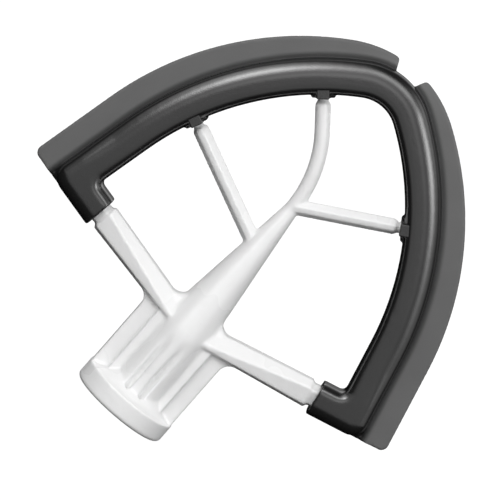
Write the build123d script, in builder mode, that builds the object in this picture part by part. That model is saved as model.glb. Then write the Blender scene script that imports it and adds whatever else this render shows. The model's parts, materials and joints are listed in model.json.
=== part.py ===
from build123d import *
import math
import os

# Flat beater with a flexible edge, for a tilt-head stand mixer, in millimetres.
# +Z runs along the shaft axis from the hub's open end to the apex, X lies across the
# beater and the front faces -Y. The origin is the centre of the hub's flat end.
# It is two pieces: a cast metal frame, and the flexible edge moulded round its arch.

# Driving dimensions: hub
bore_diameter = 12.8
bore_depth = 30.0
bore_tip_height = 3.0
collar_diameter = 33.6
collar_height = 6.8
collar_edge = 0.8
flare_height = 8.2
flare_hollow = 1.6
barrel_width = 19.2
barrel_taper_height = 23.4
barrel_depth = 23.4
step_width = 22.0
step_depth = 12.4
wing_width = 32.8
wing_root_width = 20.0
wing_root_depth = 8.6
wing_tip_depth = 6.2
rib_width = 3.2
groove_width = 2.1
groove_depth = 2.0
groove_top = 30.6

# Driving dimensions: bayonet slot through the back of the hub, for the drive pin
pin_slot_width = 5.2
pin_slot_height = 13.0
pin_seat_turn = 50.0
pin_seat_drop = 1.2

# Driving dimensions: arms
arm_root_height = 33.15
arm_slope = 13.6
arm_root_depth = 17.0
arm_root_top = 4.4
arm_root_ridge = -0.6
arm_root_foot = -1.1
arm_root_bottom = -2.85
arm_root_foot_share = 0.96
arm_tip_depth = 10.0
arm_tip_top = 4.75
arm_tip_ridge = 2.7
arm_tip_foot = -3.3
arm_tip_bottom = -4.7
arm_tip_foot_share = 0.72
arm_top_share = 0.45
neck_depth = 8.8
neck_top = 3.8
neck_ridge = 2.0
neck_foot = -2.6
neck_bottom = -3.6
neck_length = 1.7
neck_shoulder = 0.8
neck_bury = 0.6
end_slant = 4.8

# Driving dimensions: web in the middle of the arms and the spine
web_inset = 0.5
web_arm_top = 4.1
web_arm_bottom = 3.2
web_reach = 27.0
web_spine_height = 65.4
hub_corner_radius = 4.4
crotch_radius = 6.0

# Driving dimensions: spine, and the bent rod that carries on from it
spine_root_width = 17.8
spine_top = 84.4
rod_width = 4.9
rod_depth = 5.8
rod_bend_radius = 40.0
rod_bend_angle = 39.0

# Driving dimensions: the two straight spokes
left_spoke_height = 67.4
left_spoke_angle = 24.4
left_spoke_width = 5.3
right_spoke_height = 85.4
right_spoke_angle = 30.0
right_spoke_width = 5.1
spoke_depth = 6.4
spoke_ridge_rise = 0.7
spoke_foot_drop = 1.1
spoke_foot_share = 0.85
spoke_top_share = 0.3
tip_shoulder = 1.0
tip_neck_diameter = 3.4
tip_neck_length = 1.0

# Driving dimensions: arch that the edge is moulded round
elbow_reach = 59.7
leg_length = 24.0
arch_top = 133.7
arch_apex_radius = 17.7
core_width = 5.4
core_depth = 6.0

# Driving dimensions: flexible edge
edge_width = 11.5
edge_depth = 12.0
sleeve_length = 13.4
outer_shoulder = 4.0
inner_shoulder = 3.3
elbow_radius = 5.6
window_radius = 1.8
fin_thickness = 2.4
fin_tip_thickness = 1.3
fin_root_thickness = 1.2
fin_foot_width = 8.8
fin_tip_width = 4.1
fin_apex_radius = 38.7
fin_corner_radius = 2.4
fin_tip_radius = 1.2
fin_gap = 7.9
fin_gap_slant = 25.0
root_groove_width = 1.2

# Driving dimensions: moulded lugs where the rod and the spokes enter the edge
lug_size = 4.0
lug_depth = 8.4
lug_stand = 1.3
flange_length = 7.7
flange_thickness = 1.0
flange_depth = 6.4

# Directions and points of the right-hand half, in the XZ plane
slope = math.radians(arm_slope)
outward = Vector(math.cos(slope), math.sin(slope))
downward = Vector(math.sin(slope), -math.cos(slope))
arm_root = Vector(0, arm_root_height)
elbow = arm_root + outward * elbow_reach
half_edge = edge_width / 2
half_core = core_width / 2
sleeve_reach = elbow_reach - sleeve_length
leg_top = elbow - downward * leg_length
fin_leg_top = leg_top + outward * (half_edge + fin_foot_width)
fin_top = arch_top + half_edge + fin_tip_width


def side_arc(leg_point, apex_radius, top):
    """Centre and radius of the arc that is tangent to the leg and to the apex arc."""
    gap = leg_point - Vector(0, top - apex_radius)
    radius = (gap.dot(gap) - apex_radius**2) / (2 * (gap.dot(outward) - apex_radius))
    return leg_point - outward * radius, radius


def arch_line(leg_point, apex_radius, top, grow, drop):
    """Open line up one leg, over the apex and down the other leg."""
    side_centre, side_radius = side_arc(leg_point, apex_radius, top)
    apex_height = top - apex_radius
    join = math.degrees(math.atan2(apex_height - side_centre.Y, -side_centre.X))
    leg_end = leg_point + outward * grow
    foot = leg_end + downward * ((elbow - leg_end).dot(downward) + drop)
    with BuildLine(Plane.XY) as line:
        Line(foot, leg_end)
        CenterArc(side_centre, side_radius + grow, arm_slope, join - arm_slope)
        mirror(about=Plane.YZ)
        CenterArc((0, apex_height), apex_radius + grow, join, 180 - 2 * join)
    return line.line


def arch_face(leg_point, apex_radius, top, grow, drop):
    """Face inside an arch line, closed along the arms."""
    foot = elbow + outward * ((leg_point - elbow).dot(outward) + grow) + downward * drop
    base = (0, arm_root_height - drop / math.cos(slope))
    with BuildSketch(Plane.XY) as region:
        with BuildLine():
            add(arch_line(leg_point, apex_radius, top, grow, drop))
            Polyline(foot, base, (-foot.X, foot.Y))
        make_face()
    return region.sketch


def rim_face(grow, drop):
    """Face inside the arch's centre line, grown outward by a distance."""
    return arch_face(leg_top, arch_apex_radius, arch_top, grow, drop)


def foot_corner(reach, rise):
    """Point beside the right arm's middle line, at a reach along it and a rise above it."""
    return arm_root + outward * reach - downward * rise


def feet_faces(start, end, low, high, slant=0):
    """Faces of the two feet that run in line with the arms, with a slanted near end."""
    lean = math.tan(math.radians(slant))
    near = [foot_corner(start + rise * lean, rise) for rise in (high, low)]
    corners = near + [foot_corner(end, rise) for rise in (low, high)]
    with BuildSketch(Plane.XY) as feet:
        for hand in (1, -1):
            with BuildLine():
                Polyline([(hand * corner.X, corner.Y) for corner in corners], close=True)
            make_face()
    return feet.sketch


def mirrored_pair(sketch, x, y):
    """The two vertices of a sketch that lie nearest to a point and to its mirror image."""
    return [sketch.vertices().sort_by_distance((hand * x, y))[0] for hand in (1, -1)]


def spine_chord(height):
    """Half the spine's width at a height, where its surface crosses the web's face."""
    share = (spine_top - height) / (spine_top - arm_root_height)
    half_width = (rod_width + (spine_root_width - rod_width) * share) / 2
    half_depth = (rod_depth + (barrel_depth - rod_depth) * share) / 2
    return half_width * math.sqrt(1 - (wing_root_depth / 2 / half_depth) ** 2)


def member_plane(root, angle, reach):
    """Plane across a member that leaves a point (x, z) at an angle, its x axis upward."""
    along = Vector(math.cos(math.radians(angle)), 0, math.sin(math.radians(angle)))
    hand = 1 if along.X > 0 else -1
    across = Vector(-along.Z, 0, along.X) * hand
    return Plane(origin=Vector(root[0], 0, root[1]) + along * reach, x_dir=across, z_dir=along)


def faceted_sketch(plane, depth, rises, foot_share, top_share):
    """Section with a flat top, a ridge front and back and an undercut foot, by their rises."""
    top, ridge, foot, bottom = rises
    half_depth = depth / 2
    front = [(top, top_share * half_depth), (ridge, half_depth), (foot, foot_share * half_depth)]
    back = [(rise, -out) for rise, out in reversed(front)]
    with BuildSketch(plane) as section:
        with BuildLine():
            Polyline(front + [(bottom, 0)] + back, close=True)
        make_face()
    return section


def wall_reach(root, angle):
    """Distance from a point (x, z) at an angle to the side arc of the edge's inner wall."""
    centre, radius = side_arc(leg_top, arch_apex_radius, arch_top)
    along = Vector(abs(math.cos(math.radians(angle))), math.sin(math.radians(angle)))
    start = Vector(abs(root[0]), root[1]) - centre
    wall_radius = radius - half_edge
    lead = start.dot(along)
    return math.sqrt(lead**2 - start.dot(start) + wall_radius**2) - lead


# The bent rod's straight end and the two spokes: each starts at a point, at an angle
bend = math.radians(rod_bend_angle)
rod_run_root = (
    -rod_bend_radius * (1 - math.cos(bend)),
    spine_top + rod_bend_radius * math.sin(bend),
)
members = [
    (rod_run_root, 90 + rod_bend_angle),
    ((0, left_spoke_height), 180 - left_spoke_angle),
    ((0, right_spoke_height), right_spoke_angle),
]
tip_gap = lug_stand + tip_neck_length

# Arch core of the casting, hidden inside the flexible edge
with BuildPart() as core:
    with BuildSketch(Plane.XZ):
        add(rim_face(half_core, half_core))
        add(rim_face(-half_core, half_core), mode=Mode.SUBTRACT)
        core_start = sleeve_reach - neck_length / 2
        add(feet_faces(core_start, elbow_reach + half_core, -half_core, half_core))
    extrude(amount=core_depth / 2, both=True)

# Web: the wings beside the barrel, and the thin middle of the arms and of the spine's foot
with BuildPart() as web:
    with BuildSketch(Plane.XZ) as web_plan:
        wing_foot = collar_height / 2
        wing_top = arm_root_height + wing_width / 2 * math.tan(slope)
        with Locations((0, (wing_foot + wing_top) / 2)):
            Rectangle(wing_width, wing_top - wing_foot)
        add(feet_faces(0, web_reach, -web_arm_bottom, web_arm_top))
        web_low = spine_chord(arm_root_height) - web_inset
        web_high = spine_chord(web_spine_height) - web_inset
        with BuildLine():
            Polyline(
                (-web_low, arm_root_height),
                (-web_high, web_spine_height),
                (web_high, web_spine_height),
                (web_low, arm_root_height),
                close=True,
            )
        make_face()
        hub_corner = (wing_width / 2, wing_top - web_arm_bottom / math.cos(slope))
        crotch_height = arm_root_height + web_low * math.tan(slope)
        crotch = (web_low, crotch_height + web_arm_top / math.cos(slope))
        for corner, radius in ((hub_corner, hub_corner_radius), (crotch, crotch_radius)):
            fillet(mirrored_pair(web_plan, *corner), radius=radius)
    extrude(amount=wing_root_depth, both=True)
    with BuildSketch(Plane.XY) as web_section:
        web_end = web_reach + wing_tip_depth
        quarter = [
            (web_end, wing_tip_depth / 2),
            (wing_width / 2, wing_tip_depth / 2),
            (wing_root_width / 2, wing_root_depth / 2),
        ]
        front_half = quarter + [(-x, y) for x, y in reversed(quarter)]
        with BuildLine():
            Polyline(front_half + [(-x, -y) for x, y in front_half], close=True)
        make_face()
    extrude(amount=spine_top, mode=Mode.INTERSECT)

# Cast frame
with BuildPart() as frame:
    # Hub: a round collar that flares in to an oval barrel
    with BuildSketch(Plane.XZ):
        with BuildLine():
            rim = collar_diameter / 2
            throat = barrel_width / 2
            flare_top = collar_height + flare_height
            middle = ((rim + throat) / 2, collar_height + flare_height / 2)
            Polyline((0, 0), (rim - collar_edge, 0), (rim, collar_edge), (rim, collar_height))
            ThreePointArc(
                (rim, collar_height),
                (middle[0] - flare_hollow, middle[1] - flare_hollow),
                (throat, flare_top),
            )
            Polyline((throat, flare_top), (0, flare_top), (0, 0))
        make_face()
    revolve(axis=Axis.Z)
    with BuildSketch(Plane.XY):
        Ellipse(barrel_width / 2, barrel_depth / 2)
    extrude(amount=barrel_taper_height)
    with BuildSketch(Plane.XY.offset(barrel_taper_height)):
        Ellipse(barrel_width / 2, barrel_depth / 2)
    with BuildSketch(Plane.XY.offset(arm_root_height)):
        Ellipse(spine_root_width / 2, barrel_depth / 2)
    loft()

    # Stepped block beside the barrel, and the web
    with BuildSketch(Plane.XY.offset(collar_height)):
        Rectangle(step_width, step_depth)
    extrude(amount=arm_root_height - collar_height)
    add(web.part)

    # Arms, deepest at the spine, each with a recessed neck before the edge's sleeve
    neck_start = sleeve_reach - neck_length
    arm_end = neck_start - neck_shoulder
    root_rises = (arm_root_top, arm_root_ridge, arm_root_foot, arm_root_bottom)
    tip_rises = (arm_tip_top, arm_tip_ridge, arm_tip_foot, arm_tip_bottom)
    neck_rises = (neck_top, neck_ridge, neck_foot, neck_bottom)
    root_shares = (arm_root_foot_share, arm_top_share)
    tip_shares = (arm_tip_foot_share, arm_top_share)
    for angle in (arm_slope, 180 - arm_slope):
        reaches = (0, arm_end, neck_start)
        root, end, neck = (member_plane((0, arm_root_height), angle, reach) for reach in reaches)
        end, neck = (plane.rotated((0, -end_slant, 0)) for plane in (end, neck))
        root_section = faceted_sketch(root, arm_root_depth, root_rises, *root_shares)
        end_section = faceted_sketch(end, arm_tip_depth, tip_rises, *tip_shares)
        neck_section = faceted_sketch(neck, neck_depth, neck_rises, *tip_shares)
        loft([root_section.sketch, end_section.sketch], ruled=True)
        loft([end_section.sketch, neck_section.sketch], ruled=True)
        extrude(neck_section.sketch, amount=neck_length + neck_bury)

    # Spine that tapers up to the bent rod
    with BuildSketch(Plane.XY.offset(arm_root_height)):
        Ellipse(spine_root_width / 2, barrel_depth / 2)
    with BuildSketch(Plane.XY.offset(spine_top)) as spine_end:
        Ellipse(rod_width / 2, rod_depth / 2)
    loft()
    bend_plane = Plane(origin=(-rod_bend_radius, 0, spine_top), x_dir=(1, 0, 0), z_dir=(0, -1, 0))
    with BuildLine(bend_plane) as rod_path:
        CenterArc((0, 0), rod_bend_radius, 0, rod_bend_angle)
    sweep(spine_end.sketch, path=rod_path.line)
    rod_root, rod_angle = members[0]
    rod_run = wall_reach(rod_root, rod_angle) - tip_gap - tip_shoulder
    with BuildSketch(member_plane(rod_root, rod_angle, 0)):
        Ellipse(rod_width / 2, rod_depth / 2)
    extrude(amount=rod_run)
    with BuildSketch(member_plane(rod_root, rod_angle, rod_run)):
        Ellipse(rod_width / 2, rod_depth / 2)
    with BuildSketch(member_plane(rod_root, rod_angle, rod_run + tip_shoulder)):
        Ellipse(rod_width / 2 - tip_shoulder / 2, rod_depth / 2 - tip_shoulder / 2)
    loft()

    # Straight spokes
    for (root, angle), width in zip(members[1:], (left_spoke_width, right_spoke_width)):
        spoke_run = wall_reach(root, angle) - tip_gap - tip_shoulder
        rises = (width / 2, spoke_ridge_rise, -spoke_foot_drop, -width / 2)
        shares = (spoke_foot_share, spoke_top_share)
        tip_rises = (rises[0] - tip_shoulder / 2, *rises[1:3], rises[3] + tip_shoulder / 2)
        tip_plane = member_plane(root, angle, spoke_run + tip_shoulder)
        body = faceted_sketch(member_plane(root, angle, 0), spoke_depth, rises, *shares)
        end = faceted_sketch(member_plane(root, angle, spoke_run), spoke_depth, rises, *shares)
        tip = faceted_sketch(tip_plane, spoke_depth - tip_shoulder, tip_rises, *shares)
        extrude(body.sketch, amount=spoke_run)
        loft([end.sketch, tip.sketch], ruled=True)

    # Necks that tie the rod and the spokes to the arch core
    for root, angle in members:
        wall = wall_reach(root, angle)
        with BuildSketch(member_plane(root, angle, wall - tip_gap - tip_shoulder)):
            Circle(tip_neck_diameter / 2)
        extrude(amount=tip_gap + tip_shoulder + half_edge)
    add(core.part)

    # Grooves on both sides of the front rib, which fade out towards the arms
    groove_run = groove_top - collar_height
    groove_tilt = math.degrees(math.atan2(groove_depth, groove_run))
    groove_side = (rib_width + groove_width) / 2
    barrel_front = barrel_depth / 2 * math.sqrt(1 - (2 * groove_side / barrel_width) ** 2)
    groove_out = barrel_front - groove_depth + groove_width / 2
    for side in (groove_side, -groove_side):
        groove_foot = Plane(origin=(side, -groove_out, collar_height), z_dir=(0, 0, 1))
        with BuildSketch(groove_foot.rotated((groove_tilt, 0, 0))):
            Circle(groove_width / 2)
        extrude(amount=groove_run, mode=Mode.SUBTRACT)

    # Blind bore for the drive shaft
    with BuildSketch(Plane.XY):
        Circle(bore_diameter / 2)
    extrude(amount=bore_depth, mode=Mode.SUBTRACT)
    with Locations((0, 0, bore_depth + bore_tip_height / 2)):
        Cone(bore_diameter / 2, bore_diameter / 4, bore_tip_height, mode=Mode.SUBTRACT)

    # Bayonet slot: straight in, round, and back down to the pin's seat
    slot_middle = pin_slot_height - pin_slot_width / 2
    with BuildSketch(Plane.XY):
        with Locations((0, collar_diameter / 2)):
            Rectangle(pin_slot_width, collar_diameter)
    extrude(amount=slot_middle, mode=Mode.SUBTRACT)
    with BuildSketch(Plane.YZ):
        with Locations((collar_diameter / 2, slot_middle)):
            Rectangle(collar_diameter, pin_slot_width)
    revolve(axis=Axis.Z, revolution_arc=pin_seat_turn, mode=Mode.SUBTRACT)
    seat_turn = math.radians(pin_seat_turn)
    seat_height = slot_middle - pin_seat_drop
    for height, turn in ((slot_middle, 0), (slot_middle, seat_turn), (seat_height, seat_turn)):
        out = (-math.sin(turn), math.cos(turn), 0)
        with BuildSketch(Plane(origin=(0, 0, height), z_dir=out)):
            Circle(pin_slot_width / 2)
        extrude(amount=collar_diameter, mode=Mode.SUBTRACT)

# Space inside the centre line of the edge, which tells its inner edges from its outer ones
with BuildPart() as window:
    with BuildSketch(Plane.XZ):
        add(rim_face(0, 0))
    extrude(amount=edge_depth, both=True)

# Outline of the two outer fins, with the gap between them at the apex
with BuildSketch(Plane.XZ) as fin_plan:
    gap_foot = arch_top + half_edge
    gap_rise = fin_top - gap_foot
    gap_half = fin_gap / 2
    gap_lean = gap_rise * math.tan(math.radians(fin_gap_slant))
    add(arch_face(fin_leg_top, fin_apex_radius, fin_top, 0, half_edge))
    add(rim_face(0, half_edge), mode=Mode.SUBTRACT)
    with BuildLine():
        Polyline(
            (-gap_half + gap_lean, gap_foot - gap_rise),
            (gap_half - gap_lean, gap_foot - gap_rise),
            (gap_half + gap_lean, fin_top),
            (-gap_half - gap_lean, fin_top),
            close=True,
        )
    make_face(mode=Mode.SUBTRACT)
    fin_foot = elbow + outward * (half_edge + fin_foot_width) + downward * half_edge
    fin_tip = Vector(gap_half + gap_lean, fin_top)
    for corner, radius in ((fin_foot, fin_corner_radius), (fin_tip, fin_tip_radius)):
        fillet(mirrored_pair(fin_plan, corner.X, corner.Y), radius=radius)

# Fin blades: a wedge that runs round the rim and thins outward, cut to the outline
with BuildPart() as blades:
    blade_root = half_edge + root_groove_width
    blade_line = Plane.XZ * arch_line(leg_top, arch_apex_radius, arch_top, blade_root, edge_width)
    out_3d = Vector(outward.X, 0, outward.Y)
    up_3d = Vector(-downward.X, 0, -downward.Y)
    blade_start = elbow + outward * blade_root + downward * edge_width
    wedge_plane = Plane(origin=Vector(blade_start.X, 0, blade_start.Y), x_dir=out_3d, z_dir=up_3d)
    with BuildSketch(wedge_plane):
        with BuildLine():
            root_half, tip_half = fin_thickness / 2, fin_tip_thickness / 2
            Polyline(
                (0, -root_half),
                (fin_foot_width, -tip_half),
                (fin_foot_width, tip_half),
                (0, root_half),
                close=True,
            )
        make_face()
    sweep(path=Wire(blade_line.edges()))
    extrude(fin_plan.sketch, amount=fin_thickness, both=True, mode=Mode.INTERSECT)

# Thin roots of the fins
with BuildPart() as fin_roots:
    with BuildSketch(Plane.XZ):
        add(fin_plan.sketch_local)
        add(rim_face(blade_root + root_groove_width, edge_width), mode=Mode.INTERSECT)
    extrude(amount=fin_root_thickness / 2, both=True)

# Flexible edge
with BuildPart() as flex_edge:
    # Cover of the arch and the sleeves over the arm ends
    with BuildSketch(Plane.XZ) as band:
        add(rim_face(half_edge, half_edge))
        add(rim_face(-half_edge, half_edge), mode=Mode.SUBTRACT)
        sleeve_end = elbow_reach + half_edge
        add(feet_faces(sleeve_reach, sleeve_end, -half_edge, half_edge, end_slant))
        inner_corner = foot_corner(elbow_reach - half_edge, half_edge)
        outer_corner = foot_corner(elbow_reach + half_edge, -half_edge)
        for corner, radius in ((inner_corner, window_radius), (outer_corner, elbow_radius)):
            fillet(mirrored_pair(band, corner.X, corner.Y), radius=radius)
    extrude(amount=edge_depth / 2, both=True)
    for shoulder, inside in ((outer_shoulder, False), (inner_shoulder, True)):
        edges = []
        for edge in flex_edge.faces().filter_by(Axis.Y).edges():
            middle = edge @ 0.5
            reach = Vector(abs(middle.X), middle.Z - arm_root_height).dot(outward)
            if window.part.is_inside(middle) == inside and reach > sleeve_reach + shoulder / 2:
                edges.append(edge)
        fillet(edges, radius=shoulder)
    add(fin_roots.part)
    add(blades.part)

    # Lugs where the rod and the spokes enter, each with a thin foot along the wall
    arc_centre, arc_radius = side_arc(leg_top, arch_apex_radius, arch_top)
    for root, angle in members:
        wall = wall_reach(root, angle)
        with BuildSketch(member_plane(root, angle, wall - lug_stand)):
            Rectangle(lug_size, lug_depth)
        extrude(amount=lug_stand + half_edge)
        hand = 1 if math.cos(math.radians(angle)) > 0 else -1
        entry = member_plane(root, angle, wall).origin
        radial = math.degrees(math.atan2(entry.Z - arc_centre.Y, entry.X - hand * arc_centre.X))
        with BuildSketch(member_plane((entry.X, entry.Z), radial, -flange_thickness)):
            Rectangle(flange_length, flange_depth)
        extrude(amount=flange_thickness + half_edge)
    add(frame.part, mode=Mode.SUBTRACT)

os.makedirs("parts", exist_ok=True)
frame.part.label = "frame"
export_step(frame.part, "parts/frame.step")
flex_edge.part.label = "flex_edge"
export_step(flex_edge.part, "parts/flex_edge.step")
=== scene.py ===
"""Looks for the flat beater: camera, light, coated casting and flexible edge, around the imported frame."""

import json
import math

import bpy
from mathutils import Matrix, Vector

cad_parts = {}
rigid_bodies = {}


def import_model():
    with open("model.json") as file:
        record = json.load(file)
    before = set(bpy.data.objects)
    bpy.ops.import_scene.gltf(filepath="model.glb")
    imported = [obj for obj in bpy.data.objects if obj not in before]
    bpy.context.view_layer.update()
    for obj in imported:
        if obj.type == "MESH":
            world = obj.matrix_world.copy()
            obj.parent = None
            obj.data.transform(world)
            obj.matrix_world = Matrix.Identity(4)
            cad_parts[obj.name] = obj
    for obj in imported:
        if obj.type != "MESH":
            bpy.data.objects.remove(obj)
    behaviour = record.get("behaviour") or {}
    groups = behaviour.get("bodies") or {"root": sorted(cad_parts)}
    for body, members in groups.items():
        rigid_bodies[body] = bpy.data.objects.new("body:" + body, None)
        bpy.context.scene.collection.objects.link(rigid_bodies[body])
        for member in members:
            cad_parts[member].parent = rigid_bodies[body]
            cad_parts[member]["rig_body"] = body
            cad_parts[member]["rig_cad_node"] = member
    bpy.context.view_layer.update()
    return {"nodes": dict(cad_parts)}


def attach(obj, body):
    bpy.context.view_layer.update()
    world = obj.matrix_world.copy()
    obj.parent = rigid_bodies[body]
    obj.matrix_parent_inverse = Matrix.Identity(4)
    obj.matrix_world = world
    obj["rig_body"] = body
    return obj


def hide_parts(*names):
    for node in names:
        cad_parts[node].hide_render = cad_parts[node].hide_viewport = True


MM = 0.001

# Camera, at the photograph's viewing angle; the photograph is 500 pixels wide
PHOTO_WIDTH = 500
FOCAL_PIXELS = 3789
SENSOR = 36.0
CLIP_NEAR, CLIP_FAR = 0.05, 20
CAMERA_DISTANCE = 1.2
CAMERA_ELEVATION = 7.2
CAMERA_AZIMUTH = -3.0
CAMERA_ROLL = 41.2
AIM = Vector((-1.35, 0.0, 66.0)) * MM

# Noises of the materials: features per metre and detail of each, and the range that their values keep to
COATING_WAVES = (160, 2)
COATING_PEEL = (900, 2)
COATING_TONE = (35, 3)
EDGE_GRAIN = (2600, 3)
EDGE_WAVES = (120, 2)
EDGE_TONE = (60, 4)
NOISE_LOW, NOISE_HIGH = 0.1, 0.9

# Coating: colour, the share of it that the darkest spots keep, roughness, and height of its waves and peel
COATING_COLOUR = (0.88, 0.88, 0.88)
COATING_KEPT = 0.97
COATING_ROUGHNESS = (0.24, 0.32)
COATING_WAVE_HEIGHT = 0.25 * MM
COATING_PEEL_HEIGHT = 0.03 * MM

# Edge: grey at a fin's root (on the fins a painted shade of the hollow there), full grey, roughness and
# specular level of the rim and of the fins, how far shade and roughness wander, and height of its waves and
# grain; the vertices hold their share of full grey
RIM_LOOK = (0.012, 0.012, 0.16, 1.0)
# The fins' near-black root grey is painted shade, standing in for the dark hollow where a fin meets the rim
FIN_LOOK = (0.003, 0.125, 0.41, 0.25)
# Vertex attribute: 0 where the fins' root is painted dark as shade, 1 where they have full grey
PAINTED_ROOT_SHADE_FADE = "painted_root_shade_fade"
EDGE_SHADES = (0.9, 1.1)
EDGE_ROUGHNESS_SPREAD = 0.02
EDGE_WAVE_HEIGHT = 0.04 * MM
EDGE_GRAIN_HEIGHT = 0.02 * MM

# Meshing of the pieces, and rounds of smoothing before and after they are shaped further
VOXEL = 0.52 * MM
SMOOTH_FACTOR = 0.5
EVEN_ROUNDS = 4
SMOOTH_ROUNDS = 3

# Where the casting is rounded further: centre and reach of each blend
BLEND_ROUNDS = 60
BLEND_FALLOFF = 4
BLENDS = (
    (Vector((0.0, -9.0, 36.5)) * MM, 16.0 * MM),
    (Vector((0.0, 9.0, 36.5)) * MM, 16.0 * MM),
    (Vector((8.5, 0.0, 40.5)) * MM, 9.5 * MM),
    (Vector((-8.5, 0.0, 40.5)) * MM, 9.5 * MM),
)

# The rim's centre line and the fins' outline in the beater's plane, as the part has them:
# top of the straight leg, height of the top, and radius there
LEG_SLOPE = math.radians(13.6)
RIM_LINE = (Vector((52.383, 70.515)) * MM, 133.7 * MM, 17.7 * MM)
FIN_LINE = (Vector((66.525, 73.936)) * MM, 143.55 * MM, 38.7 * MM)

# The rim's section, as the part has it: half width, half depth and the radius of its outer shoulder
HALF_EDGE = 5.75 * MM
HALF_DEPTH = 6.0 * MM
OUTER_SHOULDER = 4.0 * MM

# The crown of the rim's outer half: its radius, the offset from the centre line from which a shoulder takes
# over, that shoulder's radius, and the distances down the leg between which the crown fades away
CROWN_RADIUS = 8.0 * MM
CROWN_EDGE = 4.2 * MM
CROWN_SHOULDER = 3.3 * MM
CROWN_FADE = (6.0 * MM, 18.0 * MM)

# The fins: offset of their root from the rim's centre line, width, half thickness at the root and the tip
# and at most, the hollow's first and last offset and its depth, and the offsets over which the painted
# shade at the fins' root gives way to full grey
FIN_ROOT = 6.95 * MM
FIN_WIDTH = 8.8 * MM
FIN_ROOT_HALF = 1.2 * MM
FIN_TIP_HALF = 0.5 * MM
FIN_MOST_HALF = 1.6 * MM
HOLLOW_START = 5.9 * MM
HOLLOW_END = 7.95 * MM
HOLLOW_DEPTH = 0.6 * MM
ROOT_SHADE_SPAN = (5.6 * MM, 8.0 * MM)

# Grooves beside the hub's rib, front and back: distance from the middle, half width, lowest and highest
# place, least distance of their floor from the middle plane, and how much deeper they get
GROOVE_SIDE = 2.7 * MM
GROOVE_HALF_WIDTH = 1.35 * MM
GROOVE_SPAN = (8.5 * MM, 31.5 * MM)
GROOVE_LEAST_DEPTH = 6.0 * MM
GROOVE_DEEPER = 1.1 * MM

# Lugs where the rod and the spokes enter the edge: middle of each and angle of its member
LUGS = (
    (Vector((-16.82, 0.0, 119.34)) * MM, 129.0),
    (Vector((-41.72, 0.0, 86.33)) * MM, 155.6),
    (Vector((31.53, 0.0, 103.60)) * MM, 30.0),
)
LUG_SIZE = (4.2 * MM, 11.0 * MM, 4.0 * MM)
LUG_BEVEL = 0.35 * MM
LUG_BEVEL_STEPS = 3

# Floor: size in metres, glow and paper as the camera sees them and the paper's share, colour and roughness
# for bounced light, and the glow that the pieces mirror, which comes in between two distances in front
FLOOR_SIZE = 12
FLOOR_WHITE = 1.2
FLOOR_PAPER = (0.8, 0.8, 0.8)
SHADOW_SHARE = 0.25
FLOOR_BOUNCE = (0.05, 0.05, 0.05)
FLOOR_ROUGHNESS = 0.9
FLOOR_MIRRORED = 0.55
FLOOR_GLOW_REACH = (0.12, 0.28)

# Soft lamps round the object: azimuth, elevation, strength and sharpness of each
SOFT_LAMPS = (
    (-36, 21, 7.24, 60),
    (36, 27, 6.65, 60),
    (10, 38, 3.55, 60),
    (-14, 38, 3.54, 60),
    (-43, 28, 1.81, 20),
    (-5, 5, 1.68, 20),
    (-68, 28, 1.6, 20),
    (65, 52, 1.45, 20),
    (46, 9, 1.03, 60),
    (70, 5, 0.57, 20),
    (57, 28, 0.49, 20),
    (20, 5, 0.38, 20),
    (148, 32, 1.7, 12),
    (-148, 32, 1.7, 12),
)

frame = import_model()
scene = bpy.context.scene


def toward(azimuth, elevation):
    """Unit vector towards a place round the object; azimuth 0 is its front, 90 its +X side."""
    a, e = math.radians(azimuth), math.radians(elevation)
    return Vector((math.sin(a) * math.cos(e), -math.cos(a) * math.cos(e), math.sin(e)))


def camera_axes(azimuth, elevation, roll):
    """Camera's right, up and back directions for a view from an azimuth and elevation, rolled."""
    a, r = math.radians(azimuth), math.radians(roll)
    back = toward(azimuth, elevation)
    level = Vector((math.cos(a), math.sin(a), 0))
    upright = back.cross(level)
    right = level * math.cos(r) + upright * math.sin(r)
    up = upright * math.cos(r) - level * math.sin(r)
    return right, up, back


def make_camera():
    """Camera at the photograph's place, rolled so that the beater leans as it does there."""
    data = bpy.data.cameras.new("camera")
    data.sensor_width = SENSOR
    data.lens = SENSOR * FOCAL_PIXELS / PHOTO_WIDTH
    data.clip_start, data.clip_end = CLIP_NEAR, CLIP_FAR
    camera = bpy.data.objects.new("camera", data)
    scene.collection.objects.link(camera)
    right, up, back = camera_axes(CAMERA_AZIMUTH, CAMERA_ELEVATION, CAMERA_ROLL)
    place = AIM + back * CAMERA_DISTANCE
    camera.matrix_world = Matrix.Translation(place) @ Matrix((right, up, back)).transposed().to_4x4()
    scene.camera = camera


def new_material(name):
    """A node material with its tree, its Principled shader and a texture coordinate node."""
    material = bpy.data.materials.new(name)
    material.use_nodes = True
    tree = material.node_tree
    shader = next(node for node in tree.nodes if node.type == "BSDF_PRINCIPLED")
    place = tree.nodes.new("ShaderNodeTexCoord")
    return material, tree, shader, place


def fill(tree, entry, value):
    """Gives a node's input a value, which is another node's output or a number."""
    if isinstance(value, bpy.types.NodeSocket):
        tree.links.new(value, entry)
    else:
        entry.default_value = value


def add_math(tree, operation, first, second):
    """Math node on two values, each another node's output or a number."""
    node = tree.nodes.new("ShaderNodeMath")
    node.operation = operation
    fill(tree, node.inputs[0], first)
    fill(tree, node.inputs[1], second)
    return node.outputs["Value"]


def add_dot(tree, place, direction):
    """Dot product of a place and a fixed direction."""
    node = tree.nodes.new("ShaderNodeVectorMath")
    node.operation = "DOT_PRODUCT"
    node.inputs[1].default_value = direction
    tree.links.new(place, node.inputs[0])
    return node.outputs["Value"]


def add_noise(tree, place, scale, detail):
    """Noise texture in object space; its scale counts features per metre."""
    noise = tree.nodes.new("ShaderNodeTexNoise")
    noise.inputs["Scale"].default_value = scale
    noise.inputs["Detail"].default_value = detail
    tree.links.new(place.outputs["Object"], noise.inputs["Vector"])
    return noise.outputs["Fac"]


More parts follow.
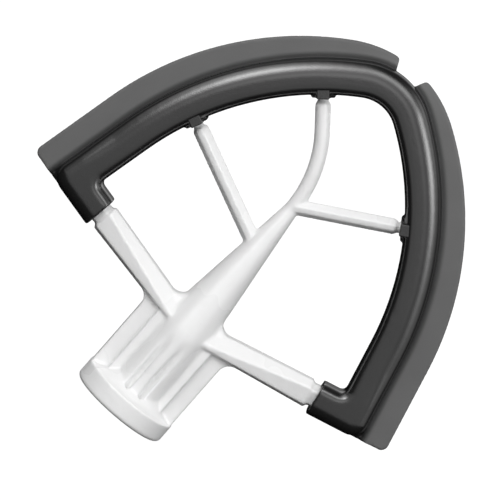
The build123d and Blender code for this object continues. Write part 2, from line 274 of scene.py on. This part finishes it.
def add_range(tree, source, low, high, start=NOISE_LOW, end=NOISE_HIGH):
    """Maps a value from one range, which is a noise's unless given, to another."""
    node = tree.nodes.new("ShaderNodeMapRange")
    node.inputs["From Min"].default_value = start
    node.inputs["From Max"].default_value = end
    node.inputs["To Min"].default_value = low
    node.inputs["To Max"].default_value = high
    tree.links.new(source, node.inputs["Value"])
    return node.outputs["Result"]


def add_shades(tree, shader, source, dark, light):
    """Base colour that wanders between two shades with a value from 0 to 1."""
    mix = tree.nodes.new("ShaderNodeMix")
    mix.data_type = "RGBA"
    mix.inputs["A"].default_value = (*dark, 1)
    mix.inputs["B"].default_value = (*light, 1)
    tree.links.new(source, mix.inputs["Factor"])
    tree.links.new(mix.outputs["Result"], shader.inputs["Base Color"])


def add_bump(tree, shader, layers):
    """Bump from several (height, distance) layers, each on top of the one before."""
    last = None
    for height, distance in layers:
        bump = tree.nodes.new("ShaderNodeBump")
        bump.inputs["Distance"].default_value = distance
        tree.links.new(height, bump.inputs["Height"])
        if last is not None:
            tree.links.new(last, bump.inputs["Normal"])
        last = bump.outputs["Normal"]
    tree.links.new(last, shader.inputs["Normal"])


def coating_material():
    """Glossy white coating on a casting: slight waviness, fine orange peel, faint change of shade."""
    material, tree, shader, place = new_material("white_coating")
    waves = add_noise(tree, place, *COATING_WAVES)
    peel = add_noise(tree, place, *COATING_PEEL)
    tone = add_noise(tree, place, *COATING_TONE)
    darkest = tuple(channel * COATING_KEPT for channel in COATING_COLOUR)
    add_shades(tree, shader, add_range(tree, tone, 0, 1), darkest, COATING_COLOUR)
    tree.links.new(add_range(tree, tone, *COATING_ROUGHNESS), shader.inputs["Roughness"])
    add_bump(tree, shader, ((waves, COATING_WAVE_HEIGHT), (peel, COATING_PEEL_HEIGHT)))
    return material


def edge_material(name, root_shade_grey, grey, roughness, shine):
    """Dark flexible plastic with a fine moulded grain; a fin's root is painted darker as shade of the
    hollow there, and its grey comes in outward.
    """
    material, tree, shader, place = new_material(name)
    grain = add_noise(tree, place, *EDGE_GRAIN)
    waves = add_noise(tree, place, *EDGE_WAVES)
    tone = add_noise(tree, place, *EDGE_TONE)
    fins = tree.nodes.new("ShaderNodeAttribute")
    fins.attribute_name = PAINTED_ROOT_SHADE_FADE
    # Painted shade: the base colour darkens toward the fins' root, where the hollow beside the rim lies in
    # shade
    level = add_range(tree, fins.outputs["Fac"], root_shade_grey, grey, 0, 1)
    shade = add_math(tree, "MULTIPLY", level, add_range(tree, tone, *EDGE_SHADES))
    tree.links.new(shade, shader.inputs["Base Color"])
    smooth, rough = roughness - EDGE_ROUGHNESS_SPREAD, roughness + EDGE_ROUGHNESS_SPREAD
    tree.links.new(add_range(tree, tone, smooth, rough), shader.inputs["Roughness"])
    add_bump(tree, shader, ((waves, EDGE_WAVE_HEIGHT), (grain, EDGE_GRAIN_HEIGHT)))
    shader.inputs["Specular IOR Level"].default_value = shine
    return material


def line_offset(line, x, z):
    """Distance outward of a point from one of the part's arch lines, and how far down its leg it is."""
    leg_top, top, apex_radius = line
    outward = Vector((math.cos(LEG_SLOPE), math.sin(LEG_SLOPE)))
    gap = leg_top - Vector((0, top - apex_radius))
    side_radius = (gap.dot(gap) - apex_radius**2) / (2 * (gap.dot(outward) - apex_radius))
    side_centre = leg_top - outward * side_radius
    side = Vector((abs(x), z)) - side_centre
    down = side.x * outward.y - side.y * outward.x
    if down > 0:
        return side.dot(outward) - side_radius, down
    if math.atan2(side.y, side.x) > math.atan2(top - apex_radius - side_centre.y, -side_centre.x):
        return math.hypot(x, z - top + apex_radius) - apex_radius, down
    return side.length - side_radius, down


def share_between(value, low, high):
    """How far a value is from a low to a high one, from 0 to 1."""
    return min(max((value - low) / (high - low), 0), 1)


def mark_fins(piece):
    """Gives the thin outer fins the second material, and each vertex its share of a fin's full grey, which
    is low at the root as painted shade.
    """
    shares = piece.data.attributes.new(PAINTED_ROOT_SHADE_FADE, "FLOAT", "POINT").data
    for vertex, share in zip(piece.data.vertices, shares):
        # Painted shade: the share is low near the fins' root, so their grey darkens there
        share.value = share_between(line_offset(RIM_LINE, vertex.co.x, vertex.co.z)[0], *ROOT_SHADE_SPAN)
    for face in piece.data.polygons:
        x, y, z = face.center
        face.material_index = int(abs(y) < FIN_MOST_HALF and line_offset(RIM_LINE, x, z)[0] > ROOT_SHADE_SPAN[0])


def shoulder_height(offset, radius):
    """Half thickness of the rim where its outer shoulder is an arc that ends at the outer wall."""
    across = max(offset - HALF_EDGE + radius, 0)
    return HALF_DEPTH - OUTER_SHOULDER + math.sqrt(max(radius * radius - across * across, 0))


def crown_change(offset, down):
    """How much higher than in the part the crowned half of the rim is at a place."""
    wanted = HALF_DEPTH - CROWN_RADIUS + math.sqrt(CROWN_RADIUS**2 - offset**2)
    if offset > CROWN_EDGE:
        wanted = shoulder_height(offset, CROWN_SHOULDER)
    return (1 - share_between(down, *CROWN_FADE)) * (wanted - shoulder_height(offset, OUTER_SHOULDER))


def fin_slimming(offset, inward):
    """Thickness of a fin as a share of the part's, at an offset and a distance inward from its outline."""
    run = offset - FIN_ROOT
    slim = FIN_ROOT_HALF - FIN_TIP_HALF
    return (FIN_ROOT_HALF - slim * run / (run + inward)) / (FIN_ROOT_HALF - slim * run / FIN_WIDTH)


def shape_rim(piece):
    """Crowns the rim's outer half, hollows the fins' roots and thins the fins to one tip thickness."""
    for vertex in piece.data.vertices:
        x, y, z = vertex.co
        offset, down = line_offset(RIM_LINE, x, z)
        if 0 < offset < HALF_EDGE and abs(y) > HALF_DEPTH - OUTER_SHOULDER:
            vertex.co.y += crown_change(offset, down) * math.copysign(1, y)
        elif HOLLOW_START < offset < HOLLOW_END and abs(y) < FIN_MOST_HALF:
            near = (HOLLOW_END - offset) / (HOLLOW_END - HALF_EDGE)
            vertex.co.y = math.copysign(FIN_ROOT_HALF - HOLLOW_DEPTH * near * near, y)
        elif offset > FIN_ROOT and abs(y) < FIN_MOST_HALF:
            vertex.co.y *= fin_slimming(offset, max(-line_offset(FIN_LINE, x, z)[0], 0))
    piece.data.update()


def deepen_grooves(piece):
    """Deepens the grooves beside the hub's rib at half their height, so that they look like leaves."""
    foot, top = GROOVE_SPAN
    for vertex in piece.data.vertices:
        x, y, z = vertex.co
        across = abs(abs(x) - GROOVE_SIDE) / GROOVE_HALF_WIDTH
        if across < 1 and foot < z < top and abs(y) > GROOVE_LEAST_DEPTH:
            leaf = math.sin(math.pi * (z - foot) / (top - foot)) * (1 - across * across)
            vertex.co.y -= math.copysign(GROOVE_DEEPER * leaf, y)
    piece.data.update()


def add_smooth(piece, times):
    """Smoothing modifier of a number of rounds."""
    smooth = piece.modifiers.new("smooth", "SMOOTH")
    smooth.factor = SMOOTH_FACTOR
    smooth.iterations = times
    return smooth


def apply_modifiers(piece):
    """Puts the mesh that the modifiers give in place of the piece's own."""
    bpy.context.view_layer.update()
    mesh = bpy.data.meshes.new_from_object(piece.evaluated_get(bpy.context.evaluated_depsgraph_get()))
    piece.modifiers.clear()
    piece.data = mesh


def smooth_near(piece, centre, reach):
    """Smooths a piece's mesh near a place, fully at its centre and not at all beyond its reach."""
    group = piece.vertex_groups.new(name="blend")
    for vertex in piece.data.vertices:
        far = math.dist(vertex.co, centre) / reach
        if far < 1:
            group.add([vertex.index], (1 - far * far) ** BLEND_FALLOFF, "REPLACE")
    add_smooth(piece, BLEND_ROUNDS).vertex_group = group.name
    apply_modifiers(piece)
    piece.vertex_groups.clear()


def softened(node, name, shape, blends=()):
    """Copy of a CAD node with its sharp edges slightly rounded, once a function has shaped it further."""
    piece = frame["nodes"][node].copy()
    piece.data = frame["nodes"][node].data.copy()
    piece.name = name
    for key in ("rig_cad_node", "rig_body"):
        if key in piece:
            del piece[key]
    piece.parent = None
    scene.collection.objects.link(piece)
    piece.modifiers.clear()
    remesh = piece.modifiers.new("remesh", "REMESH")
    remesh.mode = "VOXEL"
    remesh.voxel_size = VOXEL
    add_smooth(piece, EVEN_ROUNDS)
    wrap = piece.modifiers.new("wrap", "SHRINKWRAP")
    wrap.target = frame["nodes"][node]
    apply_modifiers(piece)
    shape(piece)
    add_smooth(piece, SMOOTH_ROUNDS)
    apply_modifiers(piece)
    for centre, reach in blends:
        smooth_near(piece, centre, reach)
    piece.data.name = name
    piece.data.polygons.foreach_set("use_smooth", [True] * len(piece.data.polygons))
    piece.data.materials.clear()
    piece.data.update()
    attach(piece, "root")
    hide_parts(node)
    return piece


def make_casting():
    """The coated casting, in place of the part's frame."""
    casting = softened("frame", "cast_frame", deepen_grooves, BLENDS)
    casting.data.materials.append(coating_material())


def make_lug(number, middle, angle, material):
    """Square block on the edge's inner wall, with its long side from front to back."""
    bpy.ops.mesh.primitive_cube_add(size=1)
    lug = bpy.context.object
    lug.name = f"edge_lug_{number}"
    turn = Matrix.Rotation(math.radians(-angle), 4, "Y") @ Matrix.Diagonal((*LUG_SIZE, 1))
    lug.data.transform(Matrix.Translation(middle) @ turn)
    bevel = lug.modifiers.new("bevel", "BEVEL")
    bevel.width = LUG_BEVEL
    bevel.segments = LUG_BEVEL_STEPS
    bpy.ops.object.modifier_apply(modifier=bevel.name)
    lug.data.materials.append(material)
    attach(lug, "root")


def make_edge():
    """The flexible edge with its fins and lugs, in place of the part's."""
    edging = softened("flex_edge", "flexible_edge", shape_rim)
    rubber = edge_material("edge_rubber", *RIM_LOOK)
    edging.data.materials.append(rubber)
    edging.data.materials.append(edge_material("edge_fins", *FIN_LOOK))
    mark_fins(edging)
    for number, (middle, angle) in enumerate(LUGS, 1):
        make_lug(number, middle, angle, rubber)


def mix_shaders(tree, share, first, second):
    """First shader where the share is 0, second where it is 1."""
    mix = tree.nodes.new("ShaderNodeMixShader")
    fill(tree, mix.inputs["Fac"], share)
    tree.links.new(first, mix.inputs[1])
    tree.links.new(second, mix.inputs[2])
    return mix.outputs["Shader"]


def seen_floor(tree):
    """The floor as the camera sees it: nearly white, with a faint shadow."""
    glow = tree.nodes.new("ShaderNodeEmission")
    glow.inputs["Strength"].default_value = FLOOR_WHITE
    paper = tree.nodes.new("ShaderNodeBsdfDiffuse")
    paper.inputs["Color"].default_value = (*FLOOR_PAPER, 1)
    return mix_shaders(tree, SHADOW_SHARE, glow.outputs["Emission"], paper.outputs["BSDF"])


def mirrored_floor(tree, place):
    """The floor as the pieces mirror it: dark near them and glowing further out in front."""
    glow = tree.nodes.new("ShaderNodeEmission")
    ahead = add_dot(tree, place.outputs["Object"], toward(0, 0))
    tree.links.new(add_range(tree, ahead, 0, FLOOR_MIRRORED, *FLOOR_GLOW_REACH), glow.inputs["Strength"])
    return glow.outputs["Emission"]


def floor_material():
    """Floor that has one look for the camera, one for mirroring surfaces and a dim one as a bounce."""
    floor, tree, shader, place = new_material("floor_white")
    shader.inputs["Base Color"].default_value = (*FLOOR_BOUNCE, 1)
    shader.inputs["Roughness"].default_value = FLOOR_ROUGHNESS
    output = next(node for node in tree.nodes if node.type == "OUTPUT_MATERIAL")
    path = tree.nodes.new("ShaderNodeLightPath")
    last = shader.outputs["BSDF"]
    for ray, look in (("Is Glossy Ray", mirrored_floor(tree, place)), ("Is Camera Ray", seen_floor(tree))):
        last = mix_shaders(tree, path.outputs[ray], last, look)
    tree.links.new(last, output.inputs["Surface"])
    return floor


def make_floor():
    """Plain pale floor that the beater stands on."""
    bpy.ops.mesh.primitive_plane_add(size=FLOOR_SIZE, location=(0, 0, 0))
    floor = bpy.context.object
    floor.name = "floor"
    floor.data.materials.append(floor_material())


def make_world():
    """World that is white to the camera, and holds the soft lamps for the object."""
    world = bpy.data.worlds.new("world")
    scene.world = world
    world.use_nodes = True
    tree = world.node_tree
    light = next(node for node in tree.nodes if node.type == "BACKGROUND")
    output = next(node for node in tree.nodes if node.type == "OUTPUT_WORLD")
    place = tree.nodes.new("ShaderNodeTexCoord")
    light.inputs["Color"].default_value = (1, 1, 1, 1)
    total = 0.0
    for azimuth, elevation, strength, sharpness in SOFT_LAMPS:
        facing = add_dot(tree, place.outputs["Generated"], toward(azimuth, elevation))
        lobe = add_math(tree, "POWER", add_math(tree, "MAXIMUM", facing, 0.0), sharpness)
        total = add_math(tree, "ADD", total, add_math(tree, "MULTIPLY", lobe, strength))
    tree.links.new(total, light.inputs["Strength"])
    white = tree.nodes.new("ShaderNodeBackground")
    white.inputs["Color"].default_value = (1, 1, 1, 1)
    camera_ray = tree.nodes.new("ShaderNodeLightPath").outputs["Is Camera Ray"]
    surface = mix_shaders(tree, camera_ray, light.outputs["Background"], white.outputs["Background"])
    tree.links.new(surface, output.inputs["Surface"])


scene.view_settings.view_transform = "Standard"
make_camera()
make_world()
make_floor()
make_casting()
make_edge()
